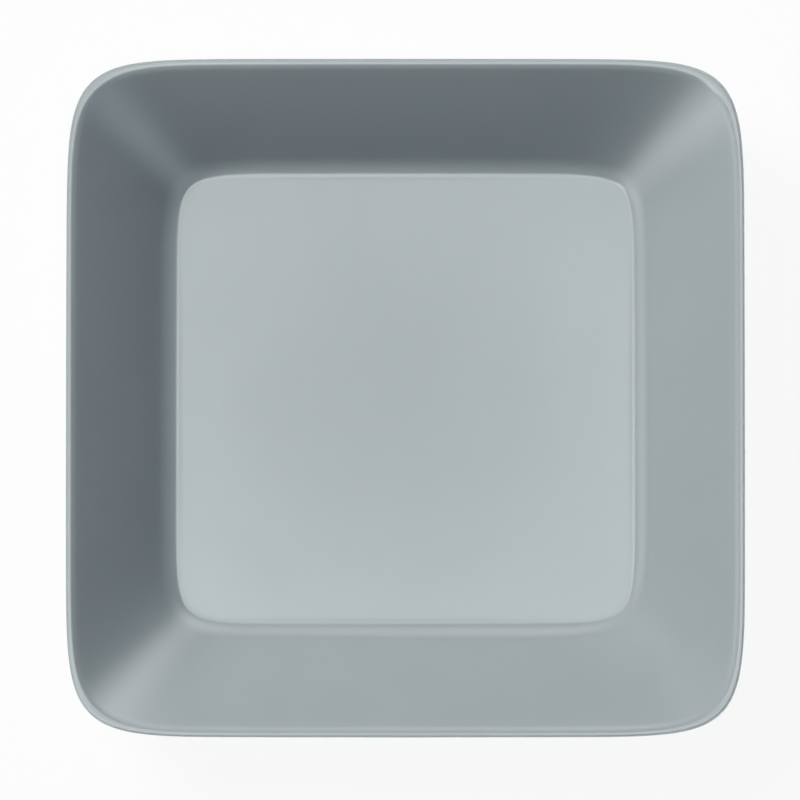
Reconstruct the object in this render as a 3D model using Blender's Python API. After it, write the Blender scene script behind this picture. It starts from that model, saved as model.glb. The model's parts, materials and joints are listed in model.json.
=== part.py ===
"""Square side plate: one pressed ceramic body, glazed all over except the standing face of its foot ring.

Three solids, in metres, +Z up, with the origin on the table under the plate's centre:
    ceramic_body   the fired body, with its well, flared walls, lip and foot ring
    main_glaze     the coat from the well over the lip and down the outside to the foot ring
    base_glaze     the coat in the recess that the foot ring encloses
"""

import math

import bmesh
import bpy

# Driving dimensions over the glaze, in metres
PLATE_WIDTH = 0.160  # across the lip, side to side
PLATE_HEIGHT = 0.0232  # table to the top of the lip
RIM_WIDTH = 0.0274  # seen from above, from the lip's edge to where the flat floor starts
LIP_THICKNESS = 0.0028  # the lip is fully round, so this is its diameter
FLOOR_THICKNESS = 0.0044  # also the wall's thickness at its heel; the wall thins from there to the lip
WELL_FILLET_RADIUS = 0.0085  # hollow curve between floor and wall
WALL_FLARE = math.radians(9)  # by how much the wall's slope eases from the fillet to the lip
RIM_CORNER_RADIUS = 0.0193  # in plan, at the lip
WALL_CORNER_RADIUS = 0.0150  # in plan, where the wall leaves the fillet
WELL_CORNER_RADIUS = 0.0085  # in plan, at the edge of the flat floor
CORNER_EASE = 1.5  # above 1, the corner opens fastest at the edge of the floor
WELL_EXTRA_REACH = 0.001052  # on each side, the flat floor reaches this much further along X than along Y
FOOT_HEIGHT = 0.0025  # depth of the recess under the floor
FOOT_SETBACK = 0.0016  # foot ring's outer face, inside the edge of the flat floor
FOOT_THICKNESS = 0.0042
FOOT_FILLET_RADIUS = 0.0007  # where the foot ring joins the underside
FOOT_EDGE_RADIUS = 0.0005  # rounded edges of the standing face
BARE_FOOT_HEIGHT = 0.0010  # the glaze is wiped off the foot up to here
GLAZE_THICKNESS = 0.0004
GLAZE_CLEARANCE = 0.0003  # between the body and the glaze that it carries

# Steps of the round stretches
OCTANT_STEPS = 7  # of each outline, from the middle of a side to the middle of a corner
WELL_FILLET_STEPS = 6
WALL_STEPS = 4
LIP_STEPS = 9
HEEL_STEPS = 4
FOOT_FILLET_STEPS = 3
FOOT_EDGE_STEPS = 2

GLAZE_COLOUR = (0.30, 0.338, 0.363, 1.0)
GLAZE_ROUGHNESS = 0.12
BODY_COLOUR = (0.62, 0.60, 0.56, 1.0)
BODY_ROUGHNESS = 0.75
SMOOTH_BELOW = math.radians(35)

# Places that follow from the driving dimensions, in the section through the middle of a side
RIM_HALF = PLATE_WIDTH / 2
WELL_HALF = RIM_HALF - RIM_WIDTH
FLOOR_TOP = FOOT_HEIGHT + FLOOR_THICKNESS
FOOT_OUTER = WELL_HALF - FOOT_SETBACK
FOOT_INNER = FOOT_OUTER - FOOT_THICKNESS
LIP_RADIUS = LIP_THICKNESS / 2
LIP_CENTRE = (RIM_HALF - LIP_RADIUS, PLATE_HEIGHT - LIP_RADIUS)
FILLET_CENTRE = (WELL_HALF, FLOOR_TOP + WELL_FILLET_RADIUS)
HEEL_RADIUS = WELL_FILLET_RADIUS + FLOOR_THICKNESS
FOOT_FILLET = min(FOOT_FILLET_RADIUS, FOOT_SETBACK / 2, (FOOT_HEIGHT - BARE_FOOT_HEIGHT) / 2)
BODY_INSET = GLAZE_THICKNESS + GLAZE_CLEARANCE

STRAIGHT_DOWN = math.radians(-90)
OUTWARDS = 0.0
STRAIGHT_UP = math.radians(90)
INWARDS = math.radians(180)


def wall_slope(offset):
    """Mean slope of a wall that meets two rounds, the lip and another, whose radii add up to the offset."""
    run = LIP_CENTRE[0] - FILLET_CENTRE[0]
    rise = LIP_CENTRE[1] - FILLET_CENTRE[1]
    clearance = offset * math.cos(WALL_FLARE / 2)
    return math.atan2(rise, run) + math.asin(clearance / math.hypot(run, rise))


INNER_SLOPE = wall_slope(WELL_FILLET_RADIUS + LIP_RADIUS)
OUTER_SLOPE = wall_slope(HEEL_RADIUS - LIP_RADIUS)
FILLET_RUN = WELL_FILLET_RADIUS * math.sin(INNER_SLOPE + WALL_FLARE / 2)


def arc(centre, radius, start, end, steps):
    """Points of the section along an arc, both ends included."""
    angles = [start + (end - start) * step / steps for step in range(steps + 1)]
    return [(centre[0] + radius * math.cos(a), centre[1] + radius * math.sin(a)) for a in angles]


def flare(foot, top, slope):
    """Points of a wall's arc between its two ends, which aren't included; it is steepest at its foot."""
    radius = math.dist(foot, top) / (2 * math.sin(WALL_FLARE / 2))
    steepest = slope + WALL_FLARE / 2
    centre = (foot[0] + radius * math.sin(steepest), foot[1] - radius * math.cos(steepest))
    start = STRAIGHT_UP + steepest
    return arc(centre, radius, start, start - WALL_FLARE, WALL_STEPS)[1:-1]


def outside_section(inset):
    """The section from the well floor's edge, over the lip, to the foot's outer face, set into the plate."""
    well_fillet = arc(
        FILLET_CENTRE,
        WELL_FILLET_RADIUS + inset,
        STRAIGHT_DOWN,
        STRAIGHT_DOWN + INNER_SLOPE + WALL_FLARE / 2,
        WELL_FILLET_STEPS,
    )
    lip = arc(
        LIP_CENTRE,
        LIP_RADIUS - inset,
        STRAIGHT_UP + INNER_SLOPE - WALL_FLARE / 2,
        STRAIGHT_DOWN + OUTER_SLOPE - WALL_FLARE / 2,
        LIP_STEPS,
    )
    heel = arc(
        FILLET_CENTRE,
        HEEL_RADIUS - inset,
        STRAIGHT_DOWN + OUTER_SLOPE + WALL_FLARE / 2,
        STRAIGHT_DOWN,
        HEEL_STEPS,
    )
    foot_fillet = arc(
        (FOOT_OUTER + FOOT_FILLET, FOOT_HEIGHT - FOOT_FILLET),
        FOOT_FILLET + inset,
        STRAIGHT_UP,
        INWARDS,
        FOOT_FILLET_STEPS,
    )
    inner_wall = flare(well_fillet[-1], lip[0], INNER_SLOPE)
    outer_wall = flare(heel[0], lip[-1], OUTER_SLOPE)[::-1]
    return well_fillet + inner_wall + lip + outer_wall + heel + foot_fillet


def recess_section(inset):
    """The section from the foot's inner face to the edge of the recess's flat roof, set into the plate."""
    return arc(
        (FOOT_INNER - FOOT_FILLET, FOOT_HEIGHT - FOOT_FILLET),
        FOOT_FILLET + inset,
        OUTWARDS,
        STRAIGHT_UP,
        FOOT_FILLET_STEPS,
    )


def standing_section(inset):
    """The bare end of the foot ring, from its outer face round the standing face to its inner face."""
    outer, inner = FOOT_OUTER - inset, FOOT_INNER + inset
    edge = min(FOOT_EDGE_RADIUS, BARE_FOOT_HEIGHT, (outer - inner) / 3)
    outer_edge = arc((outer - edge, edge), edge, OUTWARDS, STRAIGHT_DOWN, FOOT_EDGE_STEPS)
    inner_edge = arc((inner + edge, edge), edge, STRAIGHT_DOWN, -INWARDS, FOOT_EDGE_STEPS)
    return outer_edge + inner_edge


def corner_radius(half_width):
    """The plan corner radius at this distance from the centre: it opens fast over the fillet, then evenly."""
    run = half_width - WELL_HALF
    if run <= 0:
        return WELL_CORNER_RADIUS * half_width / WELL_HALF
    if run <= FILLET_RUN:
        share = 1 - (1 - run / FILLET_RUN) ** CORNER_EASE
        return WELL_CORNER_RADIUS + share * (WALL_CORNER_RADIUS - WELL_CORNER_RADIUS)
    share = (run - FILLET_RUN) / (RIM_WIDTH - FILLET_RUN)
    return WALL_CORNER_RADIUS + share * (RIM_CORNER_RADIUS - WALL_CORNER_RADIUS)


def stretch(half_width):
    """Scale along X at this distance from the centre: it fades evenly from the well to the lip."""
    fade = min(1, (RIM_HALF - half_width) / RIM_WIDTH)
    return 1 + WELL_EXTRA_REACH / WELL_HALF * fade


def outline(half_width):
    """Plan points of a square with softly bowed sides and round corners, anticlockwise from +X.

    It is a superellipse with the same corner cut as a square with that corner radius. The points lie
    closer together where the outline turns, because the heading grows with the square of the step.
    """
    corner_cut = (1 - math.sqrt(0.5)) * corner_radius(half_width) / half_width
    power = -math.log(2) / math.log(1 - corner_cut)
    octant = []
    for step in range(OCTANT_STEPS + 1):
        heading = math.radians(45) * (step / OCTANT_STEPS) ** 2
        slope = math.tan(heading) ** (1 / (power - 1))
        x = half_width / (1 + slope**power) ** (1 / power)
        octant.append((x, slope * x))
    quadrant = octant + [(y, x) for x, y in reversed(octant[1:-1])]
    points = []
    for _ in range(4):
        points += quadrant
        quadrant = [(-y, x) for x, y in quadrant]
    return [(x * stretch(half_width), y) for x, y in points]


def loft(name, section, material):
    """A closed solid: the first outline is filled and extruded through the outlines at the other points."""
    shape = bmesh.new()
    half_width, height = section[0]
    caps = [shape.faces.new([shape.verts.new((x, y, height)) for x, y in outline(half_width)])]
    for half_width, height in section[1:]:
        extruded = bmesh.ops.extrude_face_region(shape, geom=[caps[-1]])["geom"]
        caps.append(next(item for item in extruded if isinstance(item, bmesh.types.BMFace)))
        for corner, (x, y) in zip(caps[-1].verts, outline(half_width)):
            corner.co = (x, y, height)
    bmesh.ops.delete(shape, geom=caps[1:-1], context="FACES_ONLY")
    bmesh.ops.recalc_face_normals(shape, faces=shape.faces)
    mesh = bpy.data.meshes.new(name)
    shape.to_mesh(mesh)
    shape.free()
    mesh.materials.append(material)
    mesh.shade_smooth()
    mesh.set_sharp_from_angle(angle=SMOOTH_BELOW)
    solid = bpy.data.objects.new(name, mesh)
    bpy.context.scene.collection.objects.link(solid)
    return solid


def plain_material(name, colour, roughness):
    """A non-metal with one colour and one roughness."""
    material = bpy.data.materials.new(name)
    material.use_nodes = True
    shader = material.node_tree.nodes["Principled BSDF"]
    shader.inputs["Base Color"].default_value = colour
    shader.inputs["Roughness"].default_value = roughness
    shader.inputs["Metallic"].default_value = 0.0
    return material


def ceramic_body():
    """The fired body under the glaze, whose foot ring carries the plate on its bare standing face."""
    section = outside_section(BODY_INSET) + standing_section(BODY_INSET) + recess_section(BODY_INSET)
    return loft("ceramic_body", section, plain_material("bare_body", BODY_COLOUR, BODY_ROUGHNESS))


def main_glaze(glaze):
    """The coat from the well over the lip, down the outside and the foot's outer face to the bare end."""
    glaze_line = [(FOOT_OUTER, BARE_FOOT_HEIGHT), (FOOT_OUTER - GLAZE_THICKNESS, BARE_FOOT_HEIGHT)]
    section = outside_section(0) + glaze_line + outside_section(GLAZE_THICKNESS)[::-1]
    return loft("main_glaze", section, glaze)


def base_glaze(glaze):
    """The coat on the recess's roof and the foot's inner face down to the bare end."""
    glaze_line = [(FOOT_INNER, BARE_FOOT_HEIGHT), (FOOT_INNER + GLAZE_THICKNESS, BARE_FOOT_HEIGHT)]
    section = recess_section(0)[::-1] + glaze_line + recess_section(GLAZE_THICKNESS)
    return loft("base_glaze", section, glaze)


def build():
    """Clears the scene and makes the plate, its three solids under one empty at the origin."""
    for leftover in list(bpy.data.objects):
        bpy.data.objects.remove(leftover)
    plate = bpy.data.objects.new("side_plate", None)
    bpy.context.scene.collection.objects.link(plate)
    glaze = plain_material("pearl_glaze", GLAZE_COLOUR, GLAZE_ROUGHNESS)
    for solid in (ceramic_body(), main_glaze(glaze), base_glaze(glaze)):
        solid.parent = plate


build()
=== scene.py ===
"""Looks of the square side plate: its glaze, its bare foot ring, and the photograph's view and light.

The plate has three pieces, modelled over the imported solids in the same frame, in metres:
    pearl_glaze_coat   the glaze from the well over the lip and down the outside to the foot ring
    base_glaze_coat    the glaze in the recess that the foot ring encloses
    fired_body         the ceramic under both coats, which shows only on the bare foot ring
"""

import json
import math

import bmesh
import bpy
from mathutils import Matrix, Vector, noise


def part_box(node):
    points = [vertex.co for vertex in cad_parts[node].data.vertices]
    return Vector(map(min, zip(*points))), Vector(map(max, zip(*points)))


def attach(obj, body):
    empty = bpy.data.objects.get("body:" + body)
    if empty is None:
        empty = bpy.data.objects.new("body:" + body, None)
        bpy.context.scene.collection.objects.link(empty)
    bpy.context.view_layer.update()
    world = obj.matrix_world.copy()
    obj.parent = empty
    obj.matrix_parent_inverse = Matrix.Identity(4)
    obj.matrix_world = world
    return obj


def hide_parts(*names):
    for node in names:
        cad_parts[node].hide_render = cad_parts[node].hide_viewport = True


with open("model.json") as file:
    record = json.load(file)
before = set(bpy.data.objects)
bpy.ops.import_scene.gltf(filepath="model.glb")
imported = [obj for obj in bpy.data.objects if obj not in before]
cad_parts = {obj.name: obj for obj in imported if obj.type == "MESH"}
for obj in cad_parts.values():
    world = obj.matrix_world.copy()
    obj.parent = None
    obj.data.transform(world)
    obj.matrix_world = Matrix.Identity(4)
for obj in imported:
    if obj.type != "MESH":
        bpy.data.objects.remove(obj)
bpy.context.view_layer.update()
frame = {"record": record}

mounts = {mount["name"]: Vector(mount["pos_m"]) for mount in frame["record"]["mounts"]}
coat_low, coat_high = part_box("main_glaze")
base_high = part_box("base_glaze")[1]

# Sizes that the solids were drawn with
RIM_WIDTH = 0.0274  # seen from above, from the lip's edge to where the flat floor starts
LIP_RADIUS = 0.0014
WELL_FILLET_RADIUS = 0.0085
WALL_FLARE = math.radians(9)  # by how much the wall's slope eases from the fillet to the lip
RIM_CORNER_RADIUS = 0.0193
WALL_CORNER_RADIUS = 0.0150  # where the wall leaves the fillet
WELL_CORNER_RADIUS = 0.0085
CORNER_EASE = 1.5  # above 1, the corner opens fastest at the edge of the floor
WELL_EXTRA_REACH = 0.001052  # on each side, how much further the floor reaches along X than along Y
FOOT_THICKNESS = 0.0042
FOOT_FILLET_RADIUS = 0.0007
FOOT_EDGE_RADIUS = 0.0005
GLAZE_THICKNESS = 0.0004

# Sizes that only the visible pieces have
LIP_EDGE_RADIUS = 0.00055  # of the lip's upper outer edge, which is tighter than its underside
BODY_SEAT = 0.00005  # hairline between the body and its glaze

# Sizes that are read from the solids, and what follows from them
RIM_HALF = coat_high.x
PLATE_TOP = coat_high.z
FLOOR_TOP = mounts["well_floor"].z
GLAZE_LINE = coat_low.z
FOOT_INNER = base_high.y - GLAZE_THICKNESS
UNDERSIDE = base_high.z - GLAZE_THICKNESS
FLOOR_THICKNESS = FLOOR_TOP - UNDERSIDE
WELL_HALF = RIM_HALF - RIM_WIDTH
FOOT_OUTER = FOOT_INNER + FOOT_THICKNESS
LIP_CENTRE = (RIM_HALF - LIP_RADIUS, PLATE_TOP - LIP_RADIUS)
FILLET_CENTRE = (WELL_HALF, FLOOR_TOP + WELL_FILLET_RADIUS)
HEEL_RADIUS = WELL_FILLET_RADIUS + FLOOR_THICKNESS

# Steps of the modelled cage, before it is subdivided
SIDE_STEPS = 20  # along each side of the plate
SHOWN = {"fillet": 6, "wall": 6, "lip": 5, "outside": 5, "heel": 5, "foot": 4}
HIDDEN = {"fillet": 3, "wall": 1, "lip": 2, "outside": 1, "heel": 2, "foot": 2}
BEAD_STEPS = 3  # round the end of a coat
FOOT_EDGE_STEPS = 4
STANDING_FACE_STEPS = 3
SUBDIVISIONS = 2
FLOOR_BORDER = (0.0032, 0.0012)  # rings that keep the floor flat up to its edge

# Unevenness of a fired glaze
WAVE_LENGTH = 0.018
WAVE_HEIGHT = 0.00005
LINE_WAVE_LENGTH = 0.011
LINE_WAVE_HEIGHT = 0.00014

# Directions in a section
DOWN = math.radians(-90)
OUT = 0.0
UP = math.radians(90)
IN = math.radians(180)

# Finishes: colours are linear, and sizes of patterns and heights of relief are in metres
NOISE_MIDDLE = (0.3, 0.7)  # the stretch of a noise's range that is put to use
GLAZE_TONES = ((0.304, 0.342, 0.367), (0.296, 0.334, 0.359))
GLAZE_ROUGHNESS = (0.09, 0.11)
GLAZE_IOR = 1.56
MOTTLE_SIZE = 0.014
GLOSS_PATCH_SIZE = 0.006
PEEL_SIZE = 0.0035
PEEL_DETAIL = 1.0
PEEL_HEIGHT = 0.000004
CLAY_TONES = ((0.56, 0.54, 0.50), (0.68, 0.66, 0.62))
CLAY_ROUGHNESS = (0.85, 0.7)
GRAIN_SIZE = 0.0007
GRAIN_DETAIL = 4.0
GRAIN_HEIGHT = 0.00003
WHITE = (1, 1, 1)

# The photograph's view: how far across and where the plate is in it, in pixels
PHOTO_PIXELS = 800
PLATE_SPAN_PIXELS = 679.5
PLATE_CENTRE_PIXELS = (405.5, 397.5)
CAMERA_DISTANCE = 1.2
CAMERA_ELEVATION = math.radians(88.5)
SENSOR_WIDTH = 36

# Floor and room
FLOOR_SIZE = 8
FLOOR_COLOUR = (0.9, 0.9, 0.9, 1)
FLOOR_ROUGHNESS = 0.9
FLOOR_GLOW = 0.9  # share of plain white in the floor as it is seen; the rest takes light and shadow
AMBIENT = 0.08
AMBIENT_TINT = (0.75, 0.95, 1.25, 1)
ROOM_DIM = (0.2, 0.2, 0.2)
ROOM_TOP = (-0.64, 0, 0.77)
ROOM_RISE = (0.45, 0.8)  # the room turns pale between these cosines to its top
KEY_SIDE = (-0.707, 0.707, 0)
ROOM_TURN = (-0.2, 0.4)  # and between these cosines to the key's side
ROOM_BOTTOM = (0, 0, -1)
ROOM_FALL = (-0.17, -0.1)  # and between these cosines to its bottom, so that the horizon is pale

# Overhead scrim: each patch has a centre, the radii between which it fades, and a radiance
CEILING = 1.6
SCRIM_SIZE = 1.2
SCRIM_TINT = (0.93, 1.0, 0.96)
SCRIM_GLOW = ((0.0, -0.05), 0.17, 0.42, 5.05)
SCRIM_DIP = ((-0.02, 0.06), 0.0, 0.21, 2.75)

# Lamps, which only shade the plate: name, azimuth, elevation, distance, width, height, radiance
LAMP_TINT = (1.0, 0.985, 0.93)
LAMPS = (
    ("key", 135, 40, 1.8, 1.0, 0.8, 10.3),
    ("key_left", 170, 20, 1.6, 0.7, 0.5, 3.0),
    ("key_back", 100, 20, 1.6, 0.7, 0.5, 4.2),
    ("low_left", 190, 6, 1.6, 0.8, 0.25, 3.0),
    ("low_back", 80, 6, 1.6, 0.8, 0.25, 3.0),
    ("rim_right", 0, 0.43, 1.6, 1.6, 0.024, 230.0),
    ("rim_front", 270, 0.43, 1.6, 1.6, 0.024, 230.0),
)

# Cards, which only show in the gloss: name, azimuth, elevation, radius, radiance, tint
CARD_DISTANCE = 1.6
CARDS = (
    ("card_left", 180, 61, 1.05, 1.75, WHITE),
    ("card_back", 90, 61, 1.05, 1.75, WHITE),
    ("card_front", 214, 44, 1.0, 2.3, WHITE),
    ("card_right", 56, 44, 1.0, 2.5, WHITE),
    ("card_glint", 225, 74, 0.28, 5.0, WHITE),
    ("card_far", 315, 40, 1.0, 1.3, (0.85, 1, 1.1)),
)


# Section through the middle of a side, as points of half width and height

def wall_slope(offset):
    """Mean slope of a wall between the lip's round and another, whose radii add up to the offset."""
    run = LIP_CENTRE[0] - FILLET_CENTRE[0]
    rise = LIP_CENTRE[1] - FILLET_CENTRE[1]
    clearance = offset * math.cos(WALL_FLARE / 2)
    return math.atan2(rise, run) + math.asin(clearance / math.hypot(run, rise))


INNER_SLOPE = wall_slope(WELL_FILLET_RADIUS + LIP_RADIUS)
OUTER_SLOPE = wall_slope(HEEL_RADIUS - LIP_RADIUS)
FILLET_RUN = WELL_FILLET_RADIUS * math.sin(INNER_SLOPE + WALL_FLARE / 2)
LIP_SLOPE = INNER_SLOPE - WALL_FLARE / 2
LIP_EASE_RADIUS = LIP_RADIUS + (LIP_RADIUS - LIP_EDGE_RADIUS) / math.tan(LIP_SLOPE / 2)


def round_point(centre, radius, angle):
    """The point of a round of the section at this angle."""
    return centre[0] + radius * math.cos(angle), centre[1] + radius * math.sin(angle)


def arc(centre, radius, start, end, steps):
    """Points along an arc of the section, both ends included."""
    angles = [start + (end - start) * step / steps for step in range(steps + 1)]
    return [round_point(centre, radius, angle) for angle in angles]


def straight(start, end, steps):
    """Points between two points of the section, without those two."""
    shares = [step / steps for step in range(1, steps)]
    return [tuple(a + (b - a) * share for a, b in zip(start, end)) for share in shares]


def flare(foot, top, slope, steps):
    """Points along a wall's arc, steepest at its foot, between its two ends, which aren't included."""
    radius = math.dist(foot, top) / (2 * math.sin(WALL_FLARE / 2))
    steepest = slope + WALL_FLARE / 2
    centre = (foot[0] + radius * math.sin(steepest), foot[1] - radius * math.cos(steepest))
    return arc(centre, radius, UP + steepest, UP + steepest - WALL_FLARE, steps)[1:-1]


def lip_section(inset, end, steps):
    """The lip, set into the plate: the wall eases level, turns over a tight edge and rounds back under."""
    edge_centre = (RIM_HALF - LIP_EDGE_RADIUS, PLATE_TOP - LIP_EDGE_RADIUS)
    ease_centre = (edge_centre[0], PLATE_TOP - LIP_EASE_RADIUS)
    ease = arc(ease_centre, LIP_EASE_RADIUS - inset, UP + LIP_SLOPE, UP, steps)
    edge = arc(edge_centre, LIP_EDGE_RADIUS - inset, UP, OUT, steps)
    under = arc(LIP_CENTRE, LIP_RADIUS - inset, OUT, end, steps)
    return ease[:-1] + edge + under


def outside_section(inset, steps):
    """From the edge of the well floor, over the lip, to the foot's outer face, set into the plate."""
    half_flare = WALL_FLARE / 2
    fillet_end = DOWN + INNER_SLOPE + half_flare
    heel_start = DOWN + OUTER_SLOPE + half_flare
    fillet = arc(FILLET_CENTRE, WELL_FILLET_RADIUS + inset, DOWN, fillet_end, steps["fillet"])
    wall_end = round_point(LIP_CENTRE, LIP_RADIUS - inset, UP + LIP_SLOPE)
    lip = lip_section(inset, DOWN + OUTER_SLOPE - half_flare, steps["lip"])
    heel = arc(FILLET_CENTRE, HEEL_RADIUS - inset, heel_start, DOWN, steps["heel"])
    foot_centre = (FOOT_OUTER + FOOT_FILLET_RADIUS, UNDERSIDE - FOOT_FILLET_RADIUS)
    foot = arc(foot_centre, FOOT_FILLET_RADIUS + inset, UP, IN, steps["foot"])
    wall = flare(fillet[-1], wall_end, INNER_SLOPE, steps["wall"])
    outside = flare(heel[0], lip[-1], OUTER_SLOPE, steps["outside"])[::-1]
    return fillet + wall + lip + outside + heel + foot


def recess_section(inset, steps):
    """From the edge of the recess's flat roof to the foot's inner face, set into the plate."""
    centre = (FOOT_INNER - FOOT_FILLET_RADIUS, UNDERSIDE - FOOT_FILLET_RADIUS)
    return arc(centre, FOOT_FILLET_RADIUS + inset, UP, OUT, steps["foot"])


# Plan outlines, which carry a square grid's border to the plate's rounded square

def corner_radius(half_width):
    """The corner radius at this distance from the centre: it opens fast over the fillet, then evenly."""
    run = half_width - WELL_HALF
    if run <= 0:
        return WELL_CORNER_RADIUS * half_width / WELL_HALF
    if run <= FILLET_RUN:
        share = 1 - (1 - run / FILLET_RUN) ** CORNER_EASE
        return WELL_CORNER_RADIUS + share * (WALL_CORNER_RADIUS - WELL_CORNER_RADIUS)
    share = (run - FILLET_RUN) / (RIM_WIDTH - FILLET_RUN)
    return WALL_CORNER_RADIUS + share * (RIM_CORNER_RADIUS - WALL_CORNER_RADIUS)


def stretch(half_width):
    """Scale along X at this distance from the centre: it fades evenly from the well to the lip."""
    share = min(1, (RIM_HALF - half_width) / RIM_WIDTH)
    return 1 + WELL_EXTRA_REACH / WELL_HALF * share


def on_outline(half_width, side, along):
    """The outline's point for a border point of a 2 by 2 square.

    Side is the point's larger coordinate, and along is the other. The outline is a superellipse,
    whose sides bow a little and whose corners are cut off as far as a round of the radius cuts them.
    """
    corner_cut = (1 - math.sqrt(0.5)) * corner_radius(half_width) / half_width
    power = -math.log(2) / math.log(1 - corner_cut)
    slope = math.tan(math.radians(45) * along**2) ** (1 / (power - 1))
    reach = half_width / (1 + slope**power) ** (1 / power)
    return math.copysign(reach, side), math.copysign(slope * reach, along)


def plan_point(half_width, u, v):
    """Where a point of the 2 by 2 square lies on the plate, with the square's border at this half width."""
    share = max(abs(u), abs(v))
    if share == 0:
        return 0.0, 0.0
    if abs(u) >= abs(v):
        x, y = on_outline(half_width, u, v / share)
    else:
        y, x = on_outline(half_width, v, u / share)
    return x * share * stretch(half_width), y * share


# Modelling

def start_sheet(name, half_width, height):
    """A flat grid with the plate's rounded outline, left in edit mode with its border selected."""
    bpy.ops.object.select_all(action="DESELECT")
    bpy.ops.mesh.primitive_grid_add(x_subdivisions=SIDE_STEPS, y_subdivisions=SIDE_STEPS, size=2)
    sheet = bpy.context.object
    sheet.name = sheet.data.name = name
    bpy.ops.object.mode_set(mode="EDIT")
    bpy.ops.mesh.select_mode(type="EDGE")
    shape = bmesh.from_edit_mesh(sheet.data)
    for place in ("u", "v"):
        shape.verts.layers.float.new(place)
    for corner in shape.verts:
        corner[shape.verts.layers.float["u"]] = corner.co.x
        corner[shape.verts.layers.float["v"]] = corner.co.y
    put_on_outline(shape, shape.verts, half_width, height)
    bpy.ops.mesh.select_all(action="DESELECT")
    for edge in shape.edges:
        edge.select_set(edge.is_boundary)
    bmesh.update_edit_mesh(sheet.data)
    return sheet


def put_on_outline(shape, corners, half_width, height, wave=0.0):
    """Moves points to the outline at this half width and height, which may waver along the outline."""
    u, v = shape.verts.layers.float["u"], shape.verts.layers.float["v"]
    for corner in corners:
        x, y = plan_point(half_width, corner[u], corner[v])
        waver = wave * noise.noise(Vector((x, y, 0)) / LINE_WAVE_LENGTH)
        corner.co = (x, y, height + waver)


def draw_border(sheet, section, wave=0.0):
    """Extrudes the selected border of a sheet from point to point of a section."""
    for half_width, height in section:
        bpy.ops.mesh.extrude_region()
        shape = bmesh.from_edit_mesh(sheet.data)
        border = [corner for corner in shape.verts if corner.select]
        put_on_outline(shape, border, half_width, height, wave)
        bmesh.update_edit_mesh(sheet.data)


def close_shell(shell):
    """Fills the open end, turns the faces outwards and subdivides the cage."""
    bpy.ops.mesh.edge_face_add()
    bpy.ops.mesh.select_all(action="SELECT")
    bpy.ops.mesh.normals_make_consistent(inside=False)
    bpy.ops.object.mode_set(mode="OBJECT")
    for place in ("u", "v"):
        shell.data.attributes.remove(shell.data.attributes[place])
    smooth = shell.modifiers.new("smooth", "SUBSURF")
    smooth.levels = smooth.render_levels = SUBDIVISIONS
    bpy.ops.object.modifier_apply(modifier=smooth.name)
    bpy.ops.object.shade_smooth()
    return shell


def ripple(coat):
    """Lets a coat of glaze wave a little, as it sets in the kiln."""
    waves = bpy.data.textures.new(coat.name + "_waves", "CLOUDS")
    waves.noise_scale = WAVE_LENGTH
    waves.noise_depth = 0
    uneven = coat.modifiers.new("uneven", "DISPLACE")
    uneven.texture = waves
    uneven.texture_coords = "LOCAL"
    uneven.strength = WAVE_HEIGHT
    bpy.ops.object.modifier_apply(modifier=uneven.name)
    return coat


def make_pearl_glaze_coat():
    """The glaze from the well floor over the lip to its rounded end on the foot's outer face."""
    sheet = start_sheet("pearl_glaze_coat", WELL_HALF - FLOOR_BORDER[0], FLOOR_TOP)
    draw_border(sheet, [(WELL_HALF - FLOOR_BORDER[1], FLOOR_TOP)])
    draw_border(sheet, outside_section(0, SHOWN))
    bead_centre = (FOOT_OUTER - GLAZE_THICKNESS, GLAZE_LINE + GLAZE_THICKNESS)
    draw_border(sheet, arc(bead_centre, GLAZE_THICKNESS, OUT, DOWN, BEAD_STEPS), LINE_WAVE_HEIGHT)
    draw_border(sheet, outside_section(GLAZE_THICKNESS, HIDDEN)[::-1])
    return ripple(close_shell(sheet))


def make_base_glaze_coat():
    """The glaze on the recess's roof and on the foot's inner face to its rounded end."""
    roof_half = FOOT_INNER - FOOT_FILLET_RADIUS
    sheet = start_sheet("base_glaze_coat", roof_half - FLOOR_BORDER[0], UNDERSIDE)
    draw_border(sheet, [(roof_half - FLOOR_BORDER[1], UNDERSIDE)])
    draw_border(sheet, recess_section(0, SHOWN))
    bead_centre = (FOOT_INNER + GLAZE_THICKNESS, GLAZE_LINE + GLAZE_THICKNESS)
    draw_border(sheet, arc(bead_centre, GLAZE_THICKNESS, IN, IN - DOWN, BEAD_STEPS), LINE_WAVE_HEIGHT)
    draw_border(sheet, recess_section(GLAZE_THICKNESS, HIDDEN)[::-1])
    return ripple(close_shell(sheet))


def make_fired_body():
    """The ceramic body, whose foot ring ends in a bare standing face with rounded edges."""
    inset = GLAZE_THICKNESS + BODY_SEAT
    edge = FOOT_EDGE_RADIUS
    outer = FOOT_OUTER - inset - edge
    inner = FOOT_INNER + inset + edge
    sheet = start_sheet("fired_body", WELL_HALF - FLOOR_BORDER[0], FLOOR_TOP - inset)
    draw_border(sheet, outside_section(inset, HIDDEN))
    draw_border(sheet, arc((outer, edge), edge, OUT, DOWN, FOOT_EDGE_STEPS))
    draw_border(sheet, straight((outer, 0), (inner, 0), STANDING_FACE_STEPS))
    draw_border(sheet, arc((inner, edge), edge, DOWN, -IN, FOOT_EDGE_STEPS))
    draw_border(sheet, recess_section(inset, HIDDEN)[::-1])
    return close_shell(sheet)


# Steps of a material or of the world

def new_material(name):
    """A material with its node tree, its shader and the object coordinates that its patterns read."""
    material = bpy.data.materials.new(name)
    material.use_nodes = True
    tree = material.node_tree
    coordinates = tree.nodes.new("ShaderNodeTexCoord").outputs["Object"]
    return material, tree, tree.nodes["Principled BSDF"], coordinates


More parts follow.
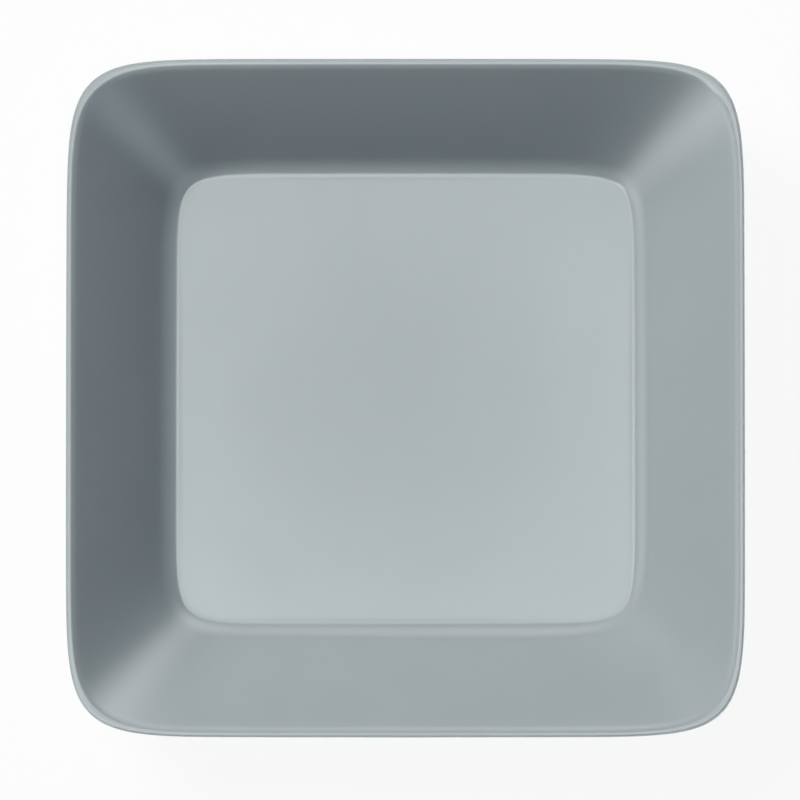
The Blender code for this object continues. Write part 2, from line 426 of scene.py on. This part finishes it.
def noise_pattern(tree, coordinates, size, detail=2.0):
    """A noise whose patches are about this size, in metres, as a factor from 0 to 1."""
    pattern = tree.nodes.new("ShaderNodeTexNoise")
    pattern.inputs["Scale"].default_value = 1 / size
    pattern.inputs["Detail"].default_value = detail
    tree.links.new(coordinates, pattern.inputs["Vector"])
    return pattern.outputs["Fac"]


def ramp(tree, value, span, low, high, easing):
    """A number that goes from low to high while a value goes from one end of a span to the other."""
    step = tree.nodes.new("ShaderNodeMapRange")
    step.interpolation_type = easing
    step.inputs["From Min"].default_value = span[0]
    step.inputs["From Max"].default_value = span[1]
    step.inputs["To Min"].default_value = low
    step.inputs["To Max"].default_value = high
    tree.links.new(value, step.inputs["Value"])
    return step.outputs["Result"]


def between(tree, factor, low, high):
    """A number that goes evenly from low to high over the middle of a noise's range."""
    return ramp(tree, factor, NOISE_MIDDLE, low, high, "LINEAR")


def mix_colours(tree, factor, first, second):
    """A colour that goes from the first to the second as a factor goes from 0 to 1."""
    mix = tree.nodes.new("ShaderNodeMix")
    mix.data_type = "RGBA"
    mix.inputs["A"].default_value = (*first, 1)
    mix.inputs["B"].default_value = (*second, 1)
    tree.links.new(factor, mix.inputs["Factor"])
    return mix.outputs["Result"]


def compute(tree, operation, first, second):
    """One sum of two terms, of which the second is a number or an output like the first."""
    step = tree.nodes.new("ShaderNodeMath")
    step.operation = operation
    tree.links.new(first, step.inputs[0])
    if isinstance(second, float):
        step.inputs[1].default_value = second
    else:
        tree.links.new(second, step.inputs[1])
    return step.outputs["Value"]


def compare_vectors(tree, operation, first, second):
    """The dot product of two vectors or the distance between them, of which the second is constant."""
    step = tree.nodes.new("ShaderNodeVectorMath")
    step.operation = operation
    step.inputs[1].default_value = second
    tree.links.new(first, step.inputs[0])
    return step.outputs["Value"]


def raise_relief(tree, shader, pattern, height):
    """Gives a shader the fine relief of a pattern, this high, in metres."""
    bump = tree.nodes.new("ShaderNodeBump")
    bump.inputs["Strength"].default_value = 1.0
    bump.inputs["Distance"].default_value = height
    tree.links.new(pattern, bump.inputs["Height"])
    tree.links.new(bump.outputs["Normal"], shader.inputs["Normal"])


def seen_rays(tree):
    """1 on rays that show a surface, from the camera or in gloss or glass, and 0 on other rays."""
    path = tree.nodes.new("ShaderNodeLightPath")
    seen = path.outputs["Is Camera Ray"]
    for kind in ("Is Glossy Ray", "Is Transmission Ray"):
        seen = compute(tree, "MAXIMUM", seen, path.outputs[kind])
    return seen


def finish_with_mix(tree, output, share, first, second):
    """Ends a node tree with its first shader, of which a share is replaced by the second."""
    mix = tree.nodes.new("ShaderNodeMixShader")
    tree.links.new(share, mix.inputs["Fac"])
    tree.links.new(first, mix.inputs[1])
    tree.links.new(second, mix.inputs[2])
    tree.links.new(mix.outputs["Shader"], tree.nodes[output].inputs["Surface"])


# Finishes

def pearl_glaze():
    """Gloss grey glaze: faintly mottled, with a gloss that varies and the fine peel of a fired surface."""
    material, tree, shader, place = new_material("pearl_glaze")
    mottle = between(tree, noise_pattern(tree, place, MOTTLE_SIZE), 0, 1)
    tree.links.new(mix_colours(tree, mottle, *GLAZE_TONES), shader.inputs["Base Color"])
    shader.inputs["IOR"].default_value = GLAZE_IOR
    gloss = noise_pattern(tree, place, GLOSS_PATCH_SIZE)
    tree.links.new(between(tree, gloss, *GLAZE_ROUGHNESS), shader.inputs["Roughness"])
    raise_relief(tree, shader, noise_pattern(tree, place, PEEL_SIZE, PEEL_DETAIL), PEEL_HEIGHT)
    return material


def bare_clay():
    """Matt fired clay with a fine sandy grain."""
    material, tree, shader, place = new_material("bare_clay")
    grain = noise_pattern(tree, place, GRAIN_SIZE, GRAIN_DETAIL)
    tone = mix_colours(tree, between(tree, grain, 0, 1), *CLAY_TONES)
    tree.links.new(tone, shader.inputs["Base Color"])
    tree.links.new(between(tree, grain, *CLAY_ROUGHNESS), shader.inputs["Roughness"])
    raise_relief(tree, shader, grain, GRAIN_HEIGHT)
    return material


def dress(piece, material, node):
    """Gives a piece its finish and puts it in the place of its solid."""
    piece.data.materials.append(material)
    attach(piece, "root")
    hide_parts(node)


# Floor, light and camera

def lay_floor():
    """A wide pale floor that looks white and keeps the plate's soft shadow."""
    bpy.ops.object.select_all(action="DESELECT")
    bpy.ops.mesh.primitive_plane_add(size=FLOOR_SIZE, location=(0, 0, 0))
    floor = bpy.context.object
    floor.name = "floor"
    material, tree, shader, _ = new_material("white_floor")
    shader.inputs["Base Color"].default_value = FLOOR_COLOUR
    shader.inputs["Roughness"].default_value = FLOOR_ROUGHNESS
    shader.inputs["Specular IOR Level"].default_value = 0.0
    glow = tree.nodes.new("ShaderNodeEmission")
    share = compute(tree, "MULTIPLY", seen_rays(tree), FLOOR_GLOW)
    finish_with_mix(tree, "Material Output", share, shader.outputs["BSDF"], glow.outputs["Emission"])
    floor.data.materials.append(material)


def around(azimuth, elevation, distance):
    """A place at this distance from the plate, by its angles in degrees: round from +X, and up."""
    turn, rise = math.radians(azimuth), math.radians(elevation)
    flat = distance * math.cos(rise)
    return flat * math.cos(turn), flat * math.sin(turn), distance * math.sin(rise)


def towards_plate(place):
    """The turn of a lamp or card at this place that faces the middle of the plate, level with its lip."""
    return (Vector((0, 0, PLATE_TOP)) - Vector(place)).to_track_quat("-Z", "Y").to_euler()


def add_softbox(name, place, width, height, radiance):
    """A rectangular area lamp that faces the plate and shades it, but doesn't show in the gloss."""
    lamp = bpy.data.lights.new(name, "AREA")
    lamp.shape = "RECTANGLE"
    lamp.size = width
    lamp.size_y = height
    lamp.energy = math.pi * width * height * radiance
    lamp.color = LAMP_TINT
    softbox = bpy.data.objects.new(name, lamp)
    softbox.location = place
    softbox.rotation_euler = towards_plate(place)
    softbox.visible_camera = False
    softbox.visible_glossy = False
    bpy.context.scene.collection.objects.link(softbox)


def fade(tree, direction, axis, cosines):
    """0 to 1 as a direction turns towards an axis, between two cosines."""
    turned = compare_vectors(tree, "DOT_PRODUCT", direction, axis)
    return ramp(tree, turned, cosines, 0.0, 1.0, "SMOOTHSTEP")


def surround():
    """A pale room, dimmer low down on the side away from the key, and a weaker even light from it."""
    world = bpy.data.worlds.new("studio")
    bpy.context.scene.world = world
    world.use_nodes = True
    tree = world.node_tree
    direction = tree.nodes.new("ShaderNodeTexCoord").outputs["Generated"]
    pale = fade(tree, direction, ROOM_TOP, ROOM_RISE)
    for axis, cosines in ((KEY_SIDE, ROOM_TURN), (ROOM_BOTTOM, ROOM_FALL)):
        pale = compute(tree, "MAXIMUM", pale, fade(tree, direction, axis, cosines))
    room = tree.nodes.new("ShaderNodeBackground")
    tree.links.new(mix_colours(tree, pale, ROOM_DIM, WHITE), room.inputs["Color"])
    ambient = tree.nodes["Background"]
    ambient.inputs["Color"].default_value = AMBIENT_TINT
    ambient.inputs["Strength"].default_value = AMBIENT
    shaders = ambient.outputs["Background"], room.outputs["Background"]
    finish_with_mix(tree, "World Output", seen_rays(tree), *shaders)


def spot(tree, place, centre, inner, outer, radiance):
    """A round patch of light that fades from an inner to an outer radius."""
    away = compare_vectors(tree, "DISTANCE", place, (*centre, 0))
    return ramp(tree, away, (inner, outer), radiance, 0.0, "SMOOTHSTEP")


def hang_gauze(name, place, size, tint):
    """A see-through sheet that faces the plate, with its node tree, its coordinates and its glow."""
    bpy.ops.object.select_all(action="DESELECT")
    bpy.ops.mesh.primitive_plane_add(size=size, location=place, rotation=towards_plate(place))
    sheet = bpy.context.object
    sheet.name = name
    sheet.visible_camera = False
    sheet.visible_shadow = False
    material, tree, shader, coordinates = new_material(name + "_gauze")
    tree.nodes.remove(shader)
    glow = tree.nodes.new("ShaderNodeEmission")
    glow.inputs["Color"].default_value = (*tint, 1)
    clear = tree.nodes.new("ShaderNodeBsdfTransparent")
    both = tree.nodes.new("ShaderNodeAddShader")
    tree.links.new(clear.outputs["BSDF"], both.inputs[0])
    tree.links.new(glow.outputs["Emission"], both.inputs[1])
    tree.links.new(both.outputs["Shader"], tree.nodes["Material Output"].inputs["Surface"])
    sheet.data.materials.append(material)
    return sheet, tree, coordinates, glow.inputs["Strength"]


def hang_scrim():
    """The overhead diffuser that the floor of the plate mirrors: a soft glow with a dimmer middle."""
    _, tree, coordinates, strength = hang_gauze("scrim", (0, 0, CEILING), SCRIM_SIZE, SCRIM_TINT)
    glow = spot(tree, coordinates, *SCRIM_GLOW)
    dip = spot(tree, coordinates, *SCRIM_DIP)
    tree.links.new(compute(tree, "SUBTRACT", glow, dip), strength)


def hang_card(name, place, radius, radiance, tint):
    """A soft round glow that shows in the glaze but lights nothing."""
    card, tree, coordinates, strength = hang_gauze(name, place, 2 * radius, tint)
    card.visible_diffuse = False
    tree.links.new(spot(tree, coordinates, (0, 0), 0.0, radius, radiance), strength)


def light_studio():
    """A broad key from the upper left, low lights for the lip, and the glows that the glaze mirrors."""
    hang_scrim()
    for name, azimuth, elevation, distance, width, height, radiance in LAMPS:
        add_softbox(name, around(azimuth, elevation, distance), width, height, radiance)
    for name, azimuth, elevation, radius, radiance, tint in CARDS:
        hang_card(name, around(azimuth, elevation, CARD_DISTANCE), radius, radiance, tint)


def place_camera():
    """The photograph's view, nearly straight down, with the plate at its place in the frame."""
    aim = Vector((0, 0, PLATE_TOP))
    back = Vector((0, -math.cos(CAMERA_ELEVATION), math.sin(CAMERA_ELEVATION)))
    lens = bpy.data.cameras.new("camera")
    lens.sensor_width = SENSOR_WIDTH
    frame_width = 2 * RIM_HALF * PHOTO_PIXELS / PLATE_SPAN_PIXELS
    lens.lens = SENSOR_WIDTH * CAMERA_DISTANCE / frame_width
    lens.shift_x = (PHOTO_PIXELS / 2 - PLATE_CENTRE_PIXELS[0]) / PHOTO_PIXELS
    lens.shift_y = (PLATE_CENTRE_PIXELS[1] - PHOTO_PIXELS / 2) / PHOTO_PIXELS
    camera = bpy.data.objects.new("camera", lens)
    camera.location = aim + back * CAMERA_DISTANCE
    camera.rotation_euler = (-back).to_track_quat("-Z", "Y").to_euler()
    bpy.context.scene.collection.objects.link(camera)
    bpy.context.scene.camera = camera


glaze = pearl_glaze()
dress(make_pearl_glaze_coat(), glaze, "main_glaze")
dress(make_base_glaze_coat(), glaze, "base_glaze")
dress(make_fired_body(), bare_clay(), "ceramic_body")
lay_floor()
surround()
light_studio()
place_camera()
bpy.context.scene.view_settings.view_transform = "Standard"
